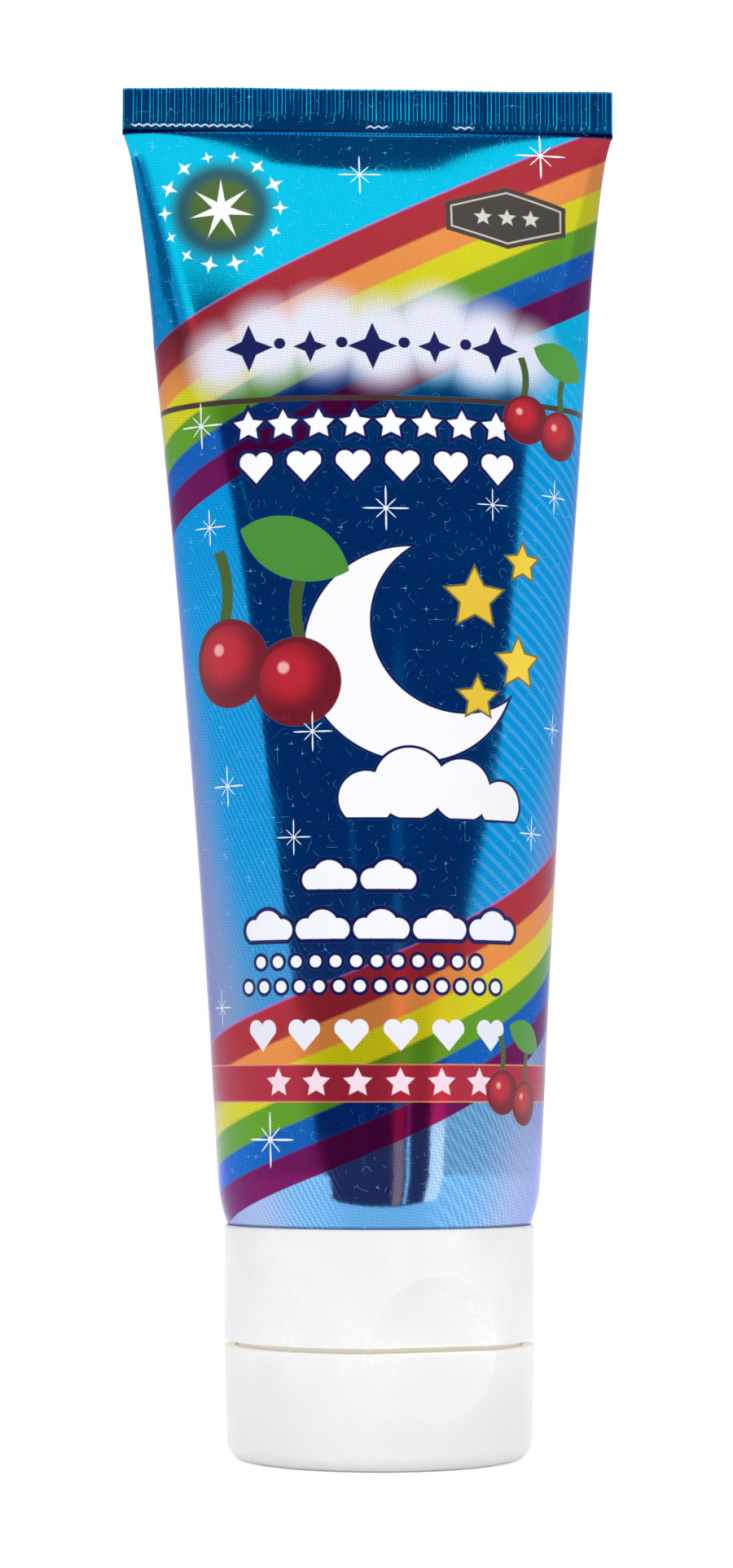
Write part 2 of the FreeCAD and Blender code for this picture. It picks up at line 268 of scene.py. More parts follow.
# The crimp is a flat ring carried upwards: along the front, round one end, along the back and round the other.
def makeCrimp(material):
    half = girth / 4 + sleeve["laminate"] / 2
    thick = sleeve["laminate"]
    count = int(2 * (half - thick) / crimp["pitch"] * crimp["stepsPerRib"])
    along = np.linspace(-(half - thick), half - thick, count)
    turn = np.linspace(-pi / 2, pi / 2, crimp["endSteps"] + 2)[1:-1]
    x = np.concatenate([along, half - thick + thick * np.cos(turn), along[::-1], -(half - thick + thick * np.cos(turn))])
    y = np.concatenate([np.full(count, -thick), thick * np.sin(turn), np.full(count, thick), -thick * np.sin(turn)])
    face = np.concatenate([np.full(count, -1.0), 0 * turn, np.full(count, 1.0), 0 * turn])
    share = np.concatenate([along / girth, 0.25 + turn / pi * thick / girth, 0.5 - along[::-1] / girth,
                            -0.25 - turn / pi * thick / girth])
    share = (share + 0.5) % 1.0 - 0.5
    heights = np.linspace(crimp["low"], crimp["top"], crimp["rows"])
    v = heights[:, None]
    calm = np.clip((half - 0.5 - np.abs(x)) / 0.4, 0.0, 1.0)[None, :]
    frontRib = ribPush(x[None, :], v, -crimp["pitch"] / 4)
    backRib = ribPush(x[None, :], v, crimp["pitch"] / 4)
    out = np.where(face < 0, frontRib, np.where(face > 0, backRib, 0.0)) * calm
    ease = np.clip((v - crimp["low"]) / 4.0, 0.0, 1.0)
    sway = crimp["waver"] * np.sin(x / 6.3 + 0.6) * ease + 0.06 * np.sin(x / 2.7) * ease
    trim = 0.05 * np.sin(x / 3.1) + 0.05 * np.sin(x / 11.0 + 2.0)
    depth = y[None, :] + face[None, :] * out + sway
    rise = v + trim[None, :] * ease ** 3
    points = np.stack([x[None, :] + sleeve["lean"] + 0 * v, depth, rise], axis=-1)
    columns = len(x)
    faces = ringQuads(len(heights), columns)
    # the ends are strips between the front and the back
    top = (len(heights) - 1) * columns
    backStart = count + len(turn)
    for k in range(count - 1):
        other = backStart + (count - 1 - k)
        faces.append([top + k, top + k + 1, top + other - 1, top + other])
        faces.append([other, other - 1, k + 1, k])
    right = [count - 1] + [count + n for n in range(len(turn))] + [backStart]
    left = [backStart + count - 1] + [backStart + count + n for n in range(len(turn))] + [0]
    faces += [[top + n for n in right], [top + n for n in left], right[::-1], left[::-1]]
    piece = newPiece("sleeve_crimp", points, faces, material)
    height = np.repeat(heights, columns)
    addPrintMap(piece, np.tile(share, len(heights)), height, columns)
    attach(piece, "tube")
    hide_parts("tube_sleeve")
    return piece


# A moulded piece keeps its own outline: its mesh is copied, its corners are merged, it is smooth
# up to an angle, and flat faces keep flat normals.
mould = {"mergeMm": 0.0006, "sharpDegrees": 18.0}


def makeMoulded(name, node, body, material):
    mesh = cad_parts[node].data.copy()
    mesh.name = name
    shape = bmesh.new()
    shape.from_mesh(mesh)
    bmesh.ops.remove_doubles(shape, verts=shape.verts, dist=mould["mergeMm"] * mm)
    limit = radians(mould["sharpDegrees"])
    for edge in shape.edges:
        edge.smooth = len(edge.link_faces) == 2 and edge.calc_face_angle(pi) < limit
    for face in shape.faces:
        face.smooth = True
    shape.to_mesh(mesh)
    shape.free()
    mesh.materials.clear()
    mesh.materials.append(material)
    piece = bpy.data.objects.new(name, mesh)
    bpy.context.scene.collection.objects.link(piece)
    flat = piece.modifiers.new("flat faces", "WEIGHTED_NORMAL")
    flat.keep_sharp = True
    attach(piece, body)
    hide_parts(node)
    return piece


# One socket of a node tree, with arithmetic that adds Math nodes in the order in which it is written
class Wire:
    def __init__(self, tree, socket):
        self.tree = tree
        self.socket = socket

    def math(self, operation, *others):
        node = self.tree.nodes.new("ShaderNodeMath")
        node.operation = operation
        for index, value in enumerate((self,) + others):
            plug(self.tree, value, node.inputs[index])
        return Wire(self.tree, node.outputs[0])

    def __add__(self, other):
        return self.math("ADD", other)

    def __sub__(self, other):
        return self.math("SUBTRACT", other)

    def __mul__(self, other):
        return self.math("MULTIPLY", other)

    def __truediv__(self, other):
        return self.math("DIVIDE", other)

    def __rsub__(self, other):
        return (self * -1.0) + other

    def __neg__(self):
        return self * -1.0

    def power(self, other):
        return self.math("POWER", other)

    def least(self, other):
        return self.math("MINIMUM", other)

    def most(self, other):
        return self.math("MAXIMUM", other)

    def size(self):
        return self.math("ABSOLUTE")

    def sine(self):
        return self.math("SINE")

    def cosine(self):
        return self.math("COSINE")

    def root(self):
        return self.math("SQRT")

    def cell(self):
        return self.math("FLOOR")

    def part(self):
        return self.math("FRACT")

    __radd__ = __add__
    __rmul__ = __mul__


def plug(tree, value, socket):
    if isinstance(value, Wire):
        tree.links.new(value.socket, socket)
    elif isinstance(value, bpy.types.NodeSocket):
        tree.links.new(value, socket)
    else:
        socket.default_value = value


# From a to b, the result goes from c to d in a soft step
def soft(wire, a, b, c=0.0, d=1.0):
    node = wire.tree.nodes.new("ShaderNodeMapRange")
    node.interpolation_type = "SMOOTHSTEP"
    for index, value in enumerate((wire, a, b, c, d)):
        plug(wire.tree, value, node.inputs[index])
    return Wire(wire.tree, node.outputs[0])


# 1 inside a shape and 0 outside it, where the distance to its outline is below zero inside
def cover(distance, blur=0.06):
    return soft(distance, -blur, blur, 1.0, 0.0)


def tint(tree, mask, under, over, blend="MIX"):
    node = tree.nodes.new("ShaderNodeMix")
    node.data_type = "RGBA"
    node.blend_type = blend
    node.clamp_factor = True
    plug(tree, mask, node.inputs[0])
    plug(tree, under, node.inputs[6])
    plug(tree, over, node.inputs[7])
    return Wire(tree, node.outputs[2])


def noise(tree, vector, scale, detail=2.0, roughness=0.5):
    node = tree.nodes.new("ShaderNodeTexNoise")
    plug(tree, vector, node.inputs["Vector"])
    node.inputs["Scale"].default_value = scale
    node.inputs["Detail"].default_value = detail
    node.inputs["Roughness"].default_value = roughness
    return Wire(tree, node.outputs[0])


# A colour as it looks on a screen, 0 to 255, turned into the linear values that a shader takes
def ink(red, green, blue):
    values = np.array([red, green, blue]) / 255.0
    linear = np.where(values <= 0.04045, values / 12.92, ((values + 0.055) / 1.055) ** 2.4)
    return (*linear.tolist(), 1.0)


# Marks that any handled surface gets, over a place in millimetres: curled fibres, specks of dust and smudges
def buildMarks():
    group = bpy.data.node_groups.new("handlingMarks", "ShaderNodeTree")
    group.interface.new_socket("Place", in_out="INPUT", socket_type="NodeSocketVector")
    for name in ("Fibre Scale", "Dust Amount"):
        group.interface.new_socket(name, in_out="INPUT", socket_type="NodeSocketFloat")
    for name in ("Fibres", "Dust", "Smudges"):
        group.interface.new_socket(name, in_out="OUTPUT", socket_type="NodeSocketFloat")
    source = group.nodes.new("NodeGroupInput")
    result = group.nodes.new("NodeGroupOutput")
    place = source.outputs["Place"]
    curl = group.nodes.new("ShaderNodeTexNoise")
    group.links.new(place, curl.inputs["Vector"])
    group.links.new(source.outputs["Fibre Scale"], curl.inputs["Scale"])
    curl.inputs["Detail"].default_value = 0.0
    where = noise(group, place, 0.85, 1.0, 0.5)
    line = cover((Wire(group, curl.outputs[0]) - 0.5).size() - 0.006, 0.004)
    plug(group, line * soft(where, 0.555, 0.60), result.inputs["Fibres"])
    cells = group.nodes.new("ShaderNodeTexVoronoi")
    group.links.new(place, cells.inputs["Vector"])
    cells.inputs["Scale"].default_value = 0.55
    speck = cover(Wire(group, cells.outputs["Distance"]) - 0.055, 0.02)
    kept = soft(Wire(group, cells.outputs["Color"]), 0.62, 0.66)
    plug(group, speck * kept * Wire(group, source.outputs["Dust Amount"]), result.inputs["Dust"])
    plug(group, soft(noise(group, place, 0.12, 2.0, 0.55), 0.42, 0.68), result.inputs["Smudges"])
    return group


def placeMarks(tree, place, fibreScale, dust):
    node = tree.nodes.new("ShaderNodeGroup")
    node.node_tree = bpy.data.node_groups.get("handlingMarks") or buildMarks()
    plug(tree, place, node.inputs["Place"])
    node.inputs["Fibre Scale"].default_value = fibreScale
    node.inputs["Dust Amount"].default_value = dust
    return node


def newMaterial(name):
    material = bpy.data.materials.new(name)
    material.use_nodes = True
    shader = material.node_tree.nodes["Principled BSDF"]
    return material, material.node_tree, shader


# Print on the sleeve, in millimetres: u is counted round from the front and v is the height. Colours are as
# they look on a screen. The blue lies on the foil as a clear ink, and the warm colours hide more of it.
printing = {
    "sky": (10, 206, 246),
    "middle": (6, 152, 224),
    "deep": (0, 118, 205),
    "lilac": (148, 158, 198),
    "haze": (98, 152, 200),
    "olive": (74, 104, 22),
    "oliveRim": (38, 62, 58),
    "plate": (66, 60, 52),
    "paper": (236, 238, 246),
    "navy": (16, 26, 92),
    "field": (226, 232, 244),
    "bands": [(176, 46, 54), (236, 148, 70), (216, 212, 4), (96, 160, 30), (22, 98, 188), (108, 14, 86)],
    "bandFoil": [0.60, 0.48, 0.42, 0.55, 0.92, 0.80],
    "bandEnds": [0.0, 0.20, 0.35, 0.52, 0.675, 0.825, 1.0],
    "upperWidth": 20.8,
    "lowerWidth": 19.4,
    "belt": (176, 42, 60),
    "beltLow": 38.0,
    "beltHigh": 41.7,
    "line": (70, 52, 40),
    "lineAt": 113.3,
    "lineWidth": 0.62,
    "gold": (240, 206, 62),
    "cherry": (186, 34, 46),
    "cherryDark": (112, 18, 30),
    "leaf": (74, 148, 52),
    "stalk": (64, 92, 30),
}


# The print as it builds up: a colour, and how far each layer leaves the foil open
class Layers:
    def __init__(self, tree, place, colour, foil):
        self.tree = tree
        self.place = place
        self.colour = colour
        self.foil = foil

    def lay(self, mask, colour, foil=None):
        shade = colour if isinstance(colour, Wire) else ink(*colour)
        self.colour = tint(self.tree, mask, self.colour, shade)
        if foil is not None:
            self.foil = self.foil + (mask * (foil - self.foil))

    # distance from a point, less a radius
    def ball(self, x, y, radius):
        node = self.tree.nodes.new("ShaderNodeVectorMath")
        node.operation = "DISTANCE"
        plug(self.tree, self.place, node.inputs[0])
        node.inputs[1].default_value = (x, y, 0.0)
        return Wire(self.tree, node.outputs["Value"]) - radius

    def together(self, balls):
        shape = self.ball(*balls[0])
        for one in balls[1:]:
            shape = shape.least(self.ball(*one))
        return shape

    # a white shape with a navy rim
    def rimmed(self, shape, rim=0.45, fill=None):
        self.lay(cover(shape - rim), printing["navy"], 0.35)
        self.lay(cover(shape), fill or printing["paper"], 0.0)


# A star's outline: the angle is folded to half a point, and the edge runs straight from tip to valley
def starShape(x, y, radius, points=5, waist=0.45):
    tree = x.tree
    half = pi / points
    angle = x.math("ARCTAN2", y)
    away = (x * x + y * y).root()
    folded = ((angle / (2 * half)).part() - 0.5).size() * (2 * half)
    folded = half - folded
    across = away * folded.cosine()
    along = away * folded.sine()
    nx = waist * sin(half)
    ny = 1.0 - waist * cos(half)
    norm = (nx ** 2 + ny ** 2) ** 0.5
    return across * (nx / norm) + along * (ny / norm) - radius * nx / norm


# Eight thin rays, four long and four short: each reaches radius * |cos(2 angle)|^sharpness
def sparkShape(x, y, radius):
    angle = y.math("ARCTAN2", x)
    away = (x * x + y * y).root()
    long = (angle * 2.0).cosine().size().power(64.0)
    short = (angle * 2.0).sine().size().power(64.0) * 0.56
    return away - (long.most(short) + 0.13) * radius


# The place along a row of equal shapes: the nearest one's own x and y
def rowPlace(u, v, start, height, pitch, count):
    along = u - start
    number = (along / pitch).math("ROUND").most(0.0).least(count - 1.0)
    return along - number * pitch, v - height, number


# Two round lobes over a point: the lower edges run straight from the lobes to the tip
def heartShape(x, y, radius):
    wide = x.size()
    a = wide - 0.48 * radius
    b = y - 0.30 * radius
    lobe = (a * a + b * b).root() - 0.54 * radius
    wedge = (wide * 0.743 - y * 0.669 - 0.70 * radius).most(y - 0.40 * radius).most(wide - radius)
    return lobe.least(wedge)


def layBands(layers, u, v, top, width):
    tree = layers.tree
    ramp = tree.nodes.new("ShaderNodeValToRGB")
    ramp.color_ramp.interpolation = "EASE"
    marks = ramp.color_ramp.elements
    count = len(printing["bands"])
    blur = 0.011
    stops = []
    for index, colour in enumerate(printing["bands"]):
        start, end = printing["bandEnds"][index:index + 2]
        stops.append((start + (blur if index else 0.0), colour, printing["bandFoil"][index]))
        stops.append((end - (blur if index < count - 1 else 0.0), colour, printing["bandFoil"][index]))
    while len(marks) < len(stops):
        marks.new(0.5)
    for mark, (place, colour, foil) in zip(marks, stops):
        mark.position = place
        red, green, blue, _ = ink(*colour)
        mark.color = (red, green, blue, foil)
    depth = (top - v) / width
    plug(tree, depth, ramp.inputs[0])
    inside = soft(depth, -0.004, 0.004) * soft(depth, 0.996, 1.004, 1.0, 0.0) * soft(v, 145.4, 145.1)
    edge = soft(depth, -0.014, -0.004) * soft(depth, -0.004, 0.01, 1.0, 0.0) * soft(v, 145.4, 145.1)
    layers.colour = tint(tree, inside, layers.colour, ramp.outputs["Color"])
    alpha = Wire(tree, ramp.outputs["Alpha"])
    layers.foil = layers.foil + (inside * (alpha - layers.foil))
    layers.lay(edge * 0.8, (206, 84, 186), 0.5)


def layCherries(layers, x, y, size):
    tree = layers.tree
    pair = [(x - 0.62 * size, y, 0.60 * size), (x + 0.50 * size, y - 0.34 * size, 0.60 * size)]
    # stalks: thin arcs from each fruit up to one point
    for side, fruit in zip((-1.0, 1.0), pair):
        reach = 1.55 * size
        arc = layers.ball(fruit[0] + side * reach, fruit[1] + 1.1 * size, reach).size() - 0.10 * size
        local = arc.most(layers.ball(fruit[0] - side * 0.05 * size, fruit[1] + 1.05 * size, 0.72 * size))
        layers.lay(cover(local), printing["stalk"], 0.1)
    leaf = layers.ball(x + 0.75 * size, y + 2.35 * size, 1.15 * size)
    leaf = leaf.most(layers.ball(x + 0.25 * size, y + 1.15 * size, 1.10 * size))
    layers.lay(cover(leaf), printing["leaf"], 0.2)
    for fruit in pair:
        shape = layers.ball(*fruit)
        layers.lay(cover(shape - 0.09 * size), printing["cherryDark"], 0.1)
        glow = soft(layers.ball(fruit[0] - 0.12 * size, fruit[1] + 0.14 * size, 0.0), 0.2 * size, 0.66 * size)
        shade = tint(tree, glow, ink(*printing["cherry"]), ink(*printing["cherryDark"]))
        layers.lay(cover(shape), shade, 0.15)
        layers.lay(cover(layers.ball(fruit[0] - 0.2 * size, fruit[1] + 0.22 * size, 0.09 * size), 0.2) * 0.7, (250, 196, 190), 0.0)


def layPrint(tree, u, v, place):
    colour = tint(tree, soft(v, 126.0, 104.0), ink(*printing["sky"]), ink(*printing["middle"]))
    colour = tint(tree, soft(v, 152.0, 143.0, 0.55, 0.0), colour, ink(*printing["deep"]))
    colour = tint(tree, soft(v, 66.0, 33.0) * 0.85, colour, ink(*printing["haze"]))
    # the sides get paler, and more of them does further down
    side = girth / 4 - (u.size() - girth / 4).size() - (v - 51.5) * 0.218
    colour = tint(tree, soft(side, 13.4, 21.8) * 0.95, colour, ink(*printing["lilac"]))
    layers = Layers(tree, place, colour, u * 0.0 + 0.975)
    # fine slanted lines of white ink, which show beside the front
    steep = ((u * 0.883 + v * 0.469) * (2 * pi / 0.56)).cosine()
    shallow = ((u * 0.616 + v * 0.788) * (2 * pi / 1.25)).cosine()
    leftSide = soft(u + v * 0.145, 0.2, -2.2)
    rightSide = soft(u - v * 0.145, 0.0, 2.4)
    lines = soft(steep, -0.5, 0.9) * leftSide * soft(v, 106.0, 84.0) * 0.6 + soft(shallow, 0.0, 0.95) * rightSide
    lines = lines * soft(v, 124.0, 108.0) * soft(u.size(), 30.0, 24.0)
    layers.lay(lines * 0.30, (116, 194, 246), 0.7)
    foot = soft(steep, -0.1, 0.8) * soft(u.size(), 3.0, 9.0) * soft(v, 46.0, 38.0)
    layers.lay(foot * 0.26, (190, 214, 240), 0.6)
    # two sweeps of colour, which get steeper behind the sides and leave by the crimp and the foot
    beyond = (u.size() - 27.0).most(0.0)
    beyond = beyond * beyond * 0.03 * u.math("SIGN")
    layBands(layers, u, v, u * 0.50 + 133.3 + beyond, printing["upperWidth"])
    layBands(layers, u, v, u * 0.435 + 52.7 + (u * u) * 0.0036 + beyond, printing["lowerWidth"])
    # painted shade: the foil is darkened along its upper creased corners, most on the left
    corner = soft(u.size() + v * -0.23 + 7.83, -0.4, 0.6) * soft(u.size(), 31.5, 29.0) * soft(v, 114.0, 122.0)
    corner = corner * soft(v, 143.2, 141.6) * soft(u, -5.0, 5.0, 1.0, 0.5)
    layers.colour = tint(tree, corner * 0.9, layers.colour, (0.32, 0.34, 0.56, 1.0), "MULTIPLY")
    # a soft white bank of cloud where the upper sweep starts
    bank = layers.together([(-16.6, 118.0, 2.8), (-11.4, 119.8, 3.8), (-5.4, 120.6, 4.2), (0.8, 119.6, 4.2),
                            (6.6, 120.8, 4.2), (12.0, 119.4, 4.0), (16.4, 118.6, 2.9)])
    layers.lay(soft(bank, 2.8, -1.6), (222, 226, 240), 0.0)
    x, y, number = rowPlace(u, v, -13.6, 119.2, 6.7, 5)
    big = (number * pi).cosine() * 0.42 + 2.25
    layers.lay(cover(starShape(x, y, big, 4, 0.42)), printing["navy"], 0.3)
    x, y, number = rowPlace(u, v, -10.2, 119.6, 6.7, 4)
    layers.lay(cover((x * x + y * y).root() - 0.62), printing["navy"], 0.3)
    # a bare pale field on the back, with round corners
    fromBack = ((u.size() * -1.0) + girth / 2 - 12.0).most(0.0)
    fromMiddle = ((v - 77.5).size() - 29.5).most(0.0)
    field = (fromBack * fromBack + fromMiddle * fromMiddle).root() - 4.0
    layers.lay(cover(field - 0.4), printing["navy"], 0.35)
    layers.lay(cover(field), printing["field"], 0.12)
    # the thin dark line and the belt go all round
    layers.lay(cover((v - printing["lineAt"]).size() - printing["lineWidth"] / 2), printing["line"], 0.25)
    middle = (printing["beltLow"] + printing["beltHigh"]) / 2
    belt = (v - middle).size() - (printing["beltHigh"] - middle)
    layers.lay(cover(belt - 0.14), (226, 150, 110), 0.4)
    layers.lay(cover(belt), printing["belt"], 0.45)
    # painted shade: a dark line along the jaws' lower edge, where the crease lies in shade; and a pale scalloped line
    # along the ribs' feet
    layers.lay(cover((v - 145.45).size() - 0.32, 0.12), (6, 34, 96), 0.95)
    rib = ((u / crimp["pitch"] + 0.25) * (2 * pi)).cosine()
    ribFootLine = cover((v - 146.25 + rib * 0.10).size() - 0.10, 0.08)
    ribFootLine = ribFootLine * (soft(u, -12.6, -13.4) + soft((u - 1.0).size(), 1.4, 1.0) + soft((u - 10.6).size(), 1.3, 0.9)).least(1.0)
    layers.lay(ribFootLine * soft(u.size(), 26.6, 26.2), (236, 246, 255), 0.15)
    # the screen of fine dots in every ink
    screen = ((u * 0.80 + v * 0.60) * (2 * pi / 0.46)).cosine() * ((v * 0.80 - u * 0.60) * (2 * pi / 0.46)).cosine()
    layers.colour = tint(tree, soft(screen, -0.3, 0.7) * 0.22, layers.colour, ink(6, 16, 40))
    # rows of small white shapes
    x, y, number = rowPlace(u, v, -13.8, 110.4, 3.85, 8)
    layers.rimmed(starShape(x, y, 1.45, 5, 0.52) - 0.12, 0.42)
    x, y, number = rowPlace(u, v, -13.0, 105.9, 5.25, 6)
    layers.rimmed(heartShape(x, y, 1.8), 0.42)
    for start, height, pitch, count, size in ((-5.6, 61.4, 6.2, 2, 1.0), (-12.6, 56.2, 6.2, 5, 1.0)):
        x, y, number = rowPlace(u, v, start, height, pitch, count)
        puff = (x * x + y * y).root() - 1.7 * size
        xx = x.size() - 1.75 * size
        puff = puff.least((xx * xx + (y + 0.35) * (y + 0.35)).root() - 1.15 * size)
        layers.rimmed(puff.most((y * -1.0) - 1.35), 0.45)
    for start, height, pitch, count, radius in ((-13.6, 52.5, 2.15, 12, 0.62), (-15.4, 49.9, 2.15, 14, 0.62)):
        x, y, number = rowPlace(u, v, start, height, pitch, count)
        layers.rimmed((x * x + y * y).root() - radius, 0.36)
    x, y, number = rowPlace(u, v, -13.6, 45.0, 5.1, 6)
    layers.lay(cover(heartShape(x, y, 1.75)), (228, 230, 240), 0.0)
    x, y, number = rowPlace(u, v, -11.6, 39.9, 4.4, 6)
    layers.lay(cover(starShape(x, y, 1.35, 5, 0.5) - 0.1), (240, 214, 226), 0.0)
    # a moon over clouds in the middle
    moon = layers.ball(3.6, 85.2, 11.6).most(-layers.ball(8.8, 88.6, 9.8))
    layers.rimmed(moon, 0.30, (238, 238, 242))
    clouds = layers.together([(-1.6, 69.6, 2.9), (3.0, 71.2, 3.8), (8.6, 70.6, 3.3), (13.2, 69.2, 2.5)]).most((v * -1.0) + 67.6)
    layers.rimmed(clouds, 0.30, (238, 238, 242))
    for x0, y0, size in ((10.4, 91.4, 3.0), (15.6, 84.6, 2.4), (10.6, 80.6, 1.9), (16.2, 95.6, 1.7)):
        star = starShape(u - x0, v - y0, size, 5, 0.50) - 0.15
        layers.lay(cover(star - 0.22), (122, 104, 30), 0.2)
        layers.lay(cover(star), printing["gold"], 0.25)
    layCherries(layers, -12.4, 84.6, 7.0)
    layCherries(layers, 19.2, 111.6, 4.0)
    layCherries(layers, 15.8, 38.9, 3.4)
    # a round green glow with a ring of small stars, and a plain dark plate with three stars
    away = layers.ball(-16.4, 135.4, 0.0)
    layers.lay(soft(away, 6.6, 4.4) * 0.9, printing["oliveRim"], 0.35)
    layers.lay(soft(away, 4.3, 2.9) * 0.9, printing["olive"], 0.3)
    x, y = u + 16.4, v - 135.4
    step = 2 * pi / 14
    sector = (y.math("ARCTAN2", x) / step).math("ROUND") * step
    along = x * sector.cosine() + y * sector.sine() - 6.5
    across = y * sector.cosine() - x * sector.sine()
    size = (sector * 3.0).sine() * 0.2 + 0.86
    layers.lay(cover(starShape(along, across, size, 4, 0.34)), (240, 244, 246), 0.0)
    layers.lay(cover(starShape(x, y, 3.6, 7, 0.28)), (236, 238, 240), 0.0)
    wide, high = (u - 14.9).size(), (v - 134.6).size()
    plate = (wide * 0.28 + high * 0.96 - 3.5).most(wide - 6.8)
    layers.lay(cover(plate), printing["plate"], 0.3)
    layers.lay(cover((plate + 0.62).size() - 0.10), (196, 190, 176), 0.1)
    x, y, number = rowPlace(u, v, 12.2, 134.6, 2.7, 3)
    layers.lay(cover(starShape(x, y, 1.05, 5, 0.45)), (206, 200, 188), 0.1)
    # thin sparkles
    for x0, y0, size in ((-1.2, 139.4, 2.1), (18.9, 142.4, 2.5), (-19.4, 110.9, 2.3), (0.9, 101.0, 2.2),
                         (-18.8, 99.6, 1.8), (12.6, 101.8, 1.6), (20.6, 103.4, 1.7), (-7.2, 76.8, 1.9),
                         (-17.6, 71.4, 2.0), (-9.4, 65.6, 1.7), (17.8, 66.4, 1.7), (-20.4, 47.9, 1.7),
                         (-12.8, 34.0, 2.6), (21.5, 78.0, 1.6)):
        layers.lay(cover(sparkShape(u - x0, v - y0, size), 0.08), (226, 232, 244), 0.12)
    return layers


def makeSleeveMaterial():
    material, tree, shader = newMaterial("printed foil laminate")
    maps = tree.nodes.new("ShaderNodeUVMap")
    maps.uv_map = "printMap"
    scale = tree.nodes.new("ShaderNodeMapping")
    scale.inputs["Location"].default_value = (-girth / 2, printFoot, 0.0)
    scale.inputs["Scale"].default_value = (girth, printHeight, 1.0)
    tree.links.new(maps.outputs[0], scale.inputs[0])
    split = tree.nodes.new("ShaderNodeSeparateXYZ")
    tree.links.new(scale.outputs[0], split.inputs[0])
    u = Wire(tree, split.outputs[0])
    v = Wire(tree, split.outputs[1])
    layers = layPrint(tree, u, v, scale.outputs[0])
    # fibres and specks of dust lie on the film
    marks = placeMarks(tree, scale.outputs[0], 0.9, 0.55)
    bare = soft(layers.foil, 0.85, 0.95, 0.06, 1.0)
    layers.lay(Wire(tree, marks.outputs["Fibres"]) * bare * 0.8, (120, 196, 244), 0.3)
    layers.lay(Wire(tree, marks.outputs["Dust"]) * bare * 0.7, (190, 214, 240), 0.3)
    grain = noise(tree, scale.outputs[0], 2.6, 2.0, 0.6)
    roughness = soft(grain, 0.3, 0.7, 0.075, 0.105) + Wire(tree, marks.outputs["Smudges"]) * 0.05
    roughness = roughness + (layers.foil * -0.22 + 0.21)
    plug(tree, layers.colour, shader.inputs["Base Color"])
    plug(tree, layers.foil, shader.inputs["Metallic"])
    shader.inputs["Specular Tint"].default_value = (0.62, 0.60, 0.84, 1.0)
    plug(tree, roughness, shader.inputs["Roughness"])
    bump = tree.nodes.new("ShaderNodeBump")
    bump.inputs["Strength"].default_value = 0.10
    bump.inputs["Distance"].default_value = 0.00002
    plug(tree, grain, bump.inputs["Height"])
    tree.links.new(bump.outputs[0], shader.inputs["Normal"])
    return material


# Moulded plastic, over the place in millimetres: a fine satin grain, smudges and dust. The listed bands are painted
# light and shade, such as a painted glow in a gap and a painted shadow line along a foot: the heights they lie
# between, how far out they reach, their colour, and how strongly they glow.
def makePlasticMaterial(name, colour, roughness, paintedLightBands=(), bumpMm=0.012, glow=0.35):
    material, tree, shader = newMaterial(name)
    place = tree.nodes.new("ShaderNodeTexCoord")
    scale = tree.nodes.new("ShaderNodeMapping")
    scale.inputs["Scale"].default_value = (1000.0, 1000.0, 1000.0)
    tree.links.new(place.outputs["Object"], scale.inputs[0])
    grain = noise(tree, scale.outputs[0], 3.4, 2.0, 0.65)
    cloud = noise(tree, scale.outputs[0], 0.09, 2.0, 0.5)
    marks = placeMarks(tree, scale.outputs[0], 0.8, 0.25)
    split = tree.nodes.new("ShaderNodeSeparateXYZ")
    tree.links.new(scale.outputs[0], split.inputs[0])
    x, y, z = (Wire(tree, split.outputs[n]) for n in range(3))
    out = (x * x + y * y).root()
    base = np.array(ink(*colour))
    paler = (*(base[:3] * 0.91).tolist(), 1.0)
    shade = tint(tree, soft(cloud, 0.35, 0.65), tuple(base.tolist()), paler)
    shade = tint(tree, soft(grain, 0.35, 0.7) * 0.8, shade, paler)
    shader.inputs["Subsurface Weight"].default_value = glow
    shader.inputs["Subsurface Radius"].default_value = (1.0, 0.95, 0.85)
    shader.inputs["Subsurface Scale"].default_value = 2.5 * mm
    # painted light and shade: each band lays its colour, and a painted glow where one is given
    for low, high, reach, tone, paintedGlow in paintedLightBands:
        band = soft(z, low - 0.05, low + 0.05) * soft(z, high + 0.05, high - 0.05) * soft(out, reach + 0.05, reach - 0.05)
        shade = tint(tree, band * 0.85, shade, ink(*tone))
        if paintedGlow:
            plug(tree, band * paintedGlow, shader.inputs["Emission Strength"])
            shader.inputs["Emission Color"].default_value = ink(*tone)
    # painted shade: the plastic darkens a little towards its foot
    shade = tint(tree, soft(z, 13.0, 0.0) * 0.6, shade, ink(226, 225, 224))
    shade = tint(tree, Wire(tree, marks.outputs["Dust"]) * 0.35, shade, ink(150, 140, 120))
    plug(tree, shade, shader.inputs["Base Color"])
    smudge = Wire(tree, marks.outputs["Smudges"])
    plug(tree, soft(grain, 0.3, 0.7, roughness - 0.05, roughness + 0.05) - smudge * 0.06, shader.inputs["Roughness"])
    bump = tree.nodes.new("ShaderNodeBump")
    bump.inputs["Strength"].default_value = 0.5
    bump.inputs["Distance"].default_value = bumpMm * mm
    plug(tree, grain, bump.inputs["Height"])
    tree.links.new(bump.outputs[0], shader.inputs["Normal"])
    return material


sleeveMaterial = makeSleeveMaterial()
# painted light in the parting gap, pale and glowing, and a painted contact shadow as a dark line along the foot
capMaterial = makePlasticMaterial("satin cap plastic", (250, 250, 250), 0.42,
                                  ((11.9, 12.9, 16.45, (246, 242, 232), 0.14), (0.07, 0.22, 20.0, (176, 148, 108), 0.0)))
headMaterial = makePlasticMaterial("natural head plastic", (236, 236, 228), 0.36, bumpMm=0.006)
pasteMaterial = makePlasticMaterial("moist paste", (206, 232, 240), 0.24, bumpMm=0.03)

